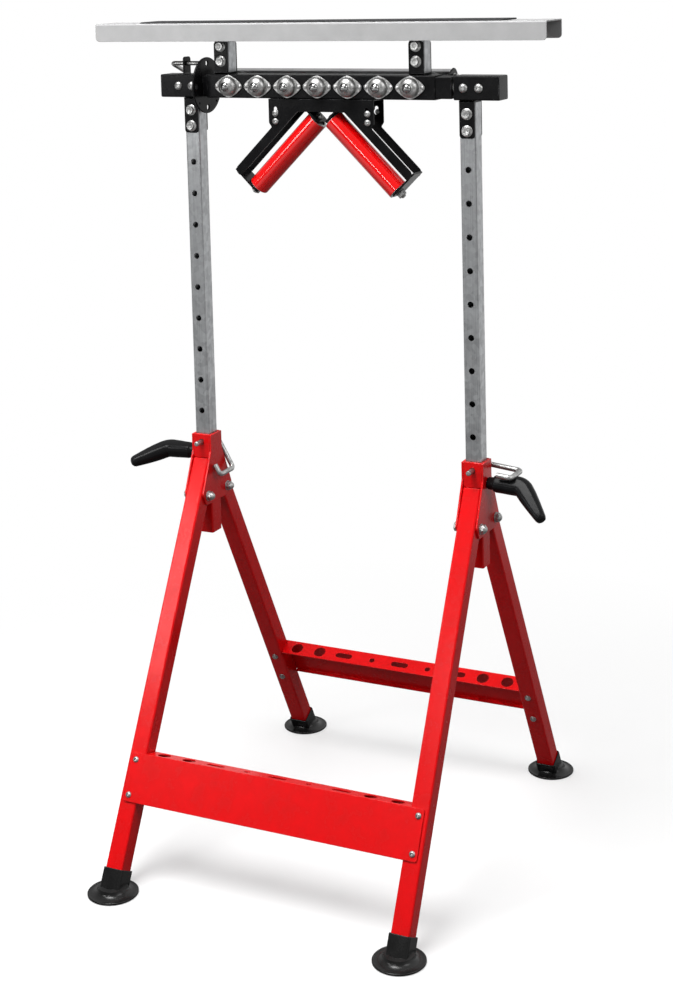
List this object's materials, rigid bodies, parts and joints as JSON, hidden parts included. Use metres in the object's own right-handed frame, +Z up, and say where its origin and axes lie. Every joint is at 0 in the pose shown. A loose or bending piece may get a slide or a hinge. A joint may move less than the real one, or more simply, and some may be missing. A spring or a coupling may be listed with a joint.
{
  "type": "multi-function roller stand",
  "caption": "Folding height-adjustable work stand whose turning head offers a padded table, ball units, a long roller and V rollers.",
  "frame": {"origin": "on the floor, under the middle of the table", "axes": "+X along the table to the right seen from the ball units, +Y towards the long roller at the back, +Z up"},
  "size_m": [0.754, 0.712, 1.2798],
  "materials": {
    "red_powder_coat": "glossy powder coat",
    "galvanised_steel": "dull galvanised",
    "black_powder_coat": "satin powder coat",
    "bright_zinc": "bright zinc plate",
    "polished_steel": "polished",
    "light_grey_coat": "satin",
    "grip_mat": "matt ribbed",
    "red_plastic": "gloss",
    "black_plastic": "satin",
    "black_rubber": "matt"
  },
  "bodies": {
    "base": {"left_frame_head": "red_powder_coat", "right_frame_head": "red_powder_coat", "front_left_pivot_bolt": "bright_zinc", "front_right_pivot_bolt": "bright_zinc", "rear_left_pivot_bolt": "bright_zinc", "rear_right_pivot_bolt": "bright_zinc"},
    "front_legs": {"front_left_leg": "red_powder_coat", "front_right_leg": "red_powder_coat", "front_left_foot": "black_rubber", "front_right_foot": "black_rubber", "front_stretcher": "red_powder_coat"},
    "rear_legs": {"rear_left_leg": "red_powder_coat", "rear_right_leg": "red_powder_coat", "rear_left_foot": "black_rubber", "rear_right_foot": "black_rubber", "rear_stretcher": "red_powder_coat"},
    "mast": {"left_post": "galvanised_steel", "right_post": "galvanised_steel", "left_post_clamp": "black_powder_coat", "right_post_clamp": "black_powder_coat", "left_end_block": "black_powder_coat", "right_end_block": "black_powder_coat", "left_journal": "bright_zinc", "right_journal": "bright_zinc"},
    "head": {"beam": "black_powder_coat", "index_disc": "black_powder_coat", "ball_carrier": "black_powder_coat", "ball_unit_1": "bright_zinc", "ball_unit_2": "bright_zinc", "ball_unit_3": "bright_zinc", "ball_unit_4": "bright_zinc", "ball_unit_5": "bright_zinc", "ball_unit_6": "bright_zinc", "ball_unit_7": "bright_zinc", "left_stub": "galvanised_steel", "right_stub": "galvanised_steel", "left_stub_clamp": "black_powder_coat", "right_stub_clamp": "black_powder_coat", "table": "light_grey_coat", "table_mat": "grip_mat", "left_roller_bracket": "black_powder_coat", "right_roller_bracket": "black_powder_coat", "v_bracket": "black_powder_coat", "left_v_axle": "bright_zinc", "right_v_axle": "bright_zinc"},
    "index_pin": {"index_pin": "bright_zinc"},
    "long_roller": {"long_roller": "polished_steel"},
    "left_v_roller": {"left_v_roller": "red_plastic"},
    "right_v_roller": {"right_v_roller": "red_plastic"},
    "left_lock_pin": {"left_lock_pin": "bright_zinc"},
    "right_lock_pin": {"right_lock_pin": "bright_zinc"},
    "left_clamp_lever": {"left_clamp_lever": "black_plastic"},
    "right_clamp_lever": {"right_clamp_lever": "black_plastic"},
    "ball_1": {"ball_1": "polished_steel"},
    "ball_2": {"ball_2": "polished_steel"},
    "ball_3": {"ball_3": "polished_steel"},
    "ball_4": {"ball_4": "polished_steel"},
    "ball_5": {"ball_5": "polished_steel"},
    "ball_6": {"ball_6": "polished_steel"},
    "ball_7": {"ball_7": "polished_steel"}
  },
  "joints": [
    {"name": "front_legs_fold", "type": "hinge", "parent": "base", "child": "front_legs", "pos_m": [0.015, -0.031, 0.5265], "axis": [1, 0, 0], "range_deg": [0, 24]},
    {"name": "rear_legs_fold", "type": "hinge", "parent": "base", "child": "rear_legs", "pos_m": [0.015, 0.031, 0.5265], "axis": [-1, 0, 0], "range_deg": [0, 24]},
    {"name": "mast_height", "type": "slide", "parent": "base", "child": "mast", "axis": [0, 0, 1], "range_m": [-0.3, 0]},
    {"name": "head_turn", "type": "hinge", "parent": "mast", "child": "head", "pos_m": [0.015, 0, 1.1795], "axis": [1, 0, 0], "range_deg": [-120, 120]},
    {"name": "index_pin_pull", "type": "slide", "parent": "mast", "child": "index_pin", "axis": [-1, 0, 0], "range_m": [0, 0.012]},
    {"name": "ball_1_roll", "type": "hinge", "parent": "head", "child": "ball_1", "pos_m": [-0.1463, -0.0282, 1.1795], "axis": [1, 0, 0], "continuous": true},
    {"name": "ball_2_roll", "type": "hinge", "parent": "head", "child": "ball_2", "pos_m": [-0.09537, -0.0282, 1.1795], "axis": [1, 0, 0], "continuous": true},
    {"name": "ball_3_roll", "type": "hinge", "parent": "head", "child": "ball_3", "pos_m": [-0.04443, -0.0282, 1.1795], "axis": [1, 0, 0], "continuous": true},
    {"name": "ball_4_roll", "type": "hinge", "parent": "head", "child": "ball_4", "pos_m": [0.0065, -0.0282, 1.1795], "axis": [1, 0, 0], "continuous": true},
    {"name": "ball_5_roll", "type": "hinge", "parent": "head", "child": "ball_5", "pos_m": [0.05743, -0.0282, 1.1795], "axis": [1, 0, 0], "continuous": true},
    {"name": "ball_6_roll", "type": "hinge", "parent": "head", "child": "ball_6", "pos_m": [0.10837, -0.0282, 1.1795], "axis": [1, 0, 0], "continuous": true},
    {"name": "ball_7_roll", "type": "hinge", "parent": "head", "child": "ball_7", "pos_m": [0.1593, -0.0282, 1.1795], "axis": [1, 0, 0], "continuous": true},
    {"name": "long_roller_spin", "type": "hinge", "parent": "head", "child": "long_roller", "pos_m": [0.016, 0.04, 1.19], "axis": [1, 0, 0], "continuous": true},
    {"name": "left_v_roller_spin", "type": "hinge", "parent": "head", "child": "left_v_roller", "pos_m": [0.011, 0, 1.142], "axis": [-0.7071, 0, -0.7071], "continuous": true},
    {"name": "right_v_roller_spin", "type": "hinge", "parent": "head", "child": "right_v_roller", "pos_m": [0.011, 0, 1.142], "axis": [0.7071, 0, -0.7071], "continuous": true},
    {"name": "left_lock_pin_pull", "type": "slide", "parent": "base", "child": "left_lock_pin", "axis": [0, 1, 0], "range_m": [0, 0.06]},
    {"name": "right_lock_pin_pull", "type": "slide", "parent": "base", "child": "right_lock_pin", "axis": [0, 1, 0], "range_m": [0, 0.06]},
    {"name": "left_clamp_turn", "type": "hinge", "parent": "base", "child": "left_clamp_lever", "pos_m": [-0.217, 0, 0.588], "axis": [1, 0, 0], "range_deg": [-90, 90]},
    {"name": "right_clamp_turn", "type": "hinge", "parent": "base", "child": "right_clamp_lever", "pos_m": [0.247, 0, 0.588], "axis": [1, 0, 0], "range_deg": [-90, 90]}
  ]
}
